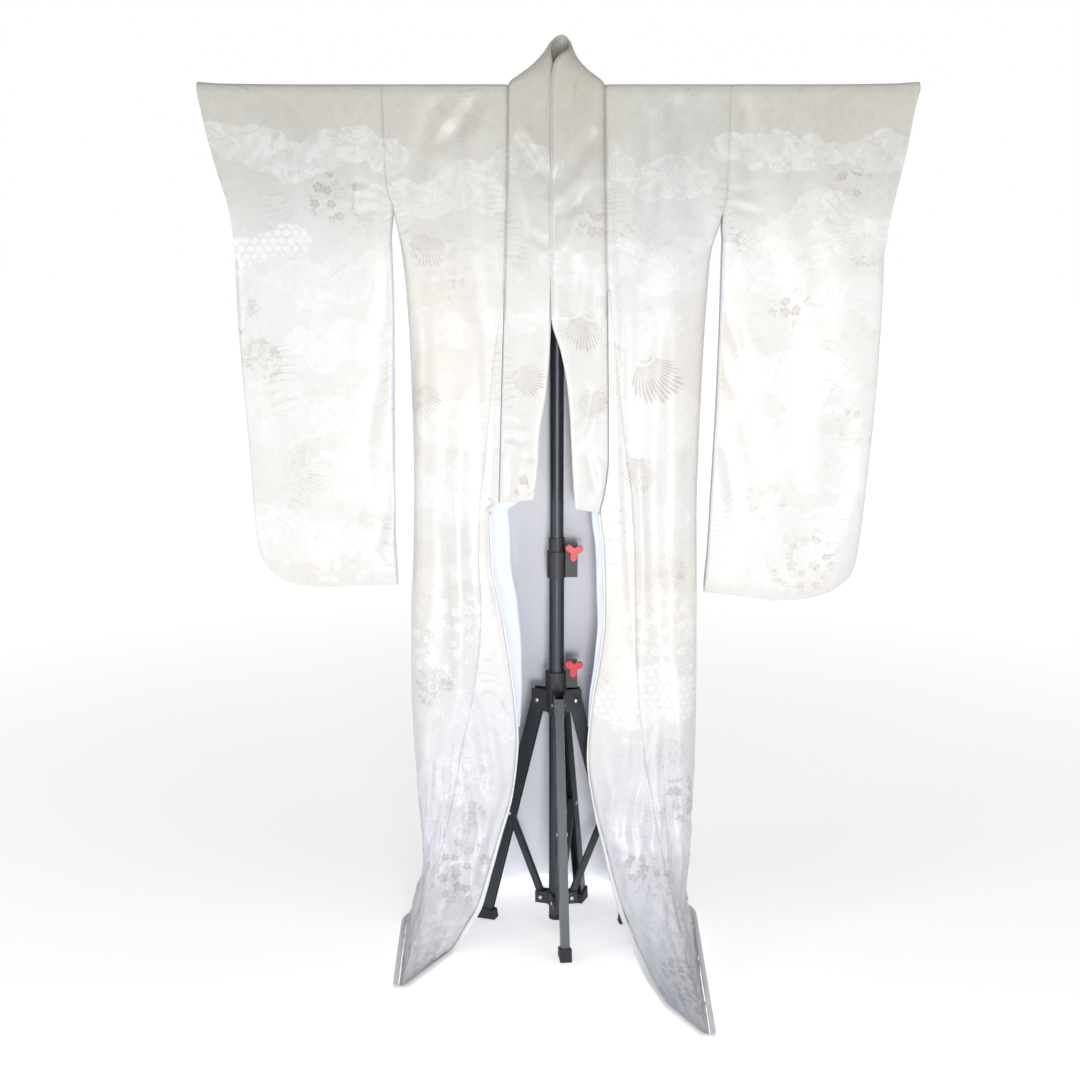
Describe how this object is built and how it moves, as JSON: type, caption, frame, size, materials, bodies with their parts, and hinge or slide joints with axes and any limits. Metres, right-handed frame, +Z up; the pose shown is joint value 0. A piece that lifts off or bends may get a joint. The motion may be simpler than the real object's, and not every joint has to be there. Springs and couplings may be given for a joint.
{
  "type": "uchikake wedding kimono on a telescopic stand",
  "caption": "White silk over-kimono with hanging sleeves and a trailing padded hem, hung open on the crossbar of a black telescopic stand with splayed legs.",
  "frame": {"origin": "on the floor, under the middle of the whole object's bounding box", "axes": "+Z up, +X to the viewer's right as seen from the open front, -Y out of the open front"},
  "size_m": [1.2926, 0.7854, 1.692],
  "materials": {
    "silk": "white and ivory figured satin silk, tone on tone, soft sheen",
    "silk_cover": "white figured satin silk, collar cover",
    "lining": "plain lavender-white lining silk",
    "piping": "white plain silk over a padded roll",
    "black_metal": "black powder coat, satin",
    "black_plastic": "black moulded plastic",
    "red_plastic": "red moulded plastic",
    "steel": "plain steel",
    "rubber": "black rubber"
  },
  "bodies": {
    "frame": {"back_lining_left": "lining", "back_lining_right": "lining", "body_back_left": "silk", "body_back_right": "silk", "body_front_left": "silk", "body_front_right": "silk", "brace_front": "black_metal", "brace_left": "black_metal", "brace_rear": "black_metal", "brace_right": "black_metal", "brace_ring": "black_plastic", "collar": "silk", "collar_cover": "silk_cover", "crossbar": "black_metal", "foot_front": "rubber", "foot_left": "rubber", "foot_rear": "rubber", "foot_right": "rubber", "front_lining_left": "lining", "front_lining_right": "lining", "hem_roll_left": "piping", "hem_roll_right": "piping", "leg_front": "black_metal", "leg_hub": "black_plastic", "leg_left": "black_metal", "leg_rear": "black_metal", "leg_right": "black_metal", "mast_clamp": "black_plastic", "mast_lower": "black_metal", "mast_plug": "rubber", "mast_upper": "black_metal", "overlap_left": "silk", "overlap_right": "silk", "sleeve_left": "silk", "sleeve_right": "silk", "tee_head": "black_plastic"},
    "mast_knob_body": {"mast_knob": "red_plastic", "mast_knob_screw": "steel"},
    "hub_knob_body": {"hub_knob": "red_plastic", "hub_knob_screw": "steel"}
  },
  "joints": [
    {"name": "mast_knob_turn", "type": "hinge", "parent": "frame", "child": "mast_knob_body", "pos_m": [0.03125, 0.0893, 0.7523], "axis": [0, -1, 0], "range_deg": [0, 180]},
    {"name": "hub_knob_turn", "type": "hinge", "parent": "frame", "child": "hub_knob_body", "pos_m": [0.03125, 0.0893, 0.529], "axis": [0, -1, 0], "range_deg": [0, 180]}
  ]
}
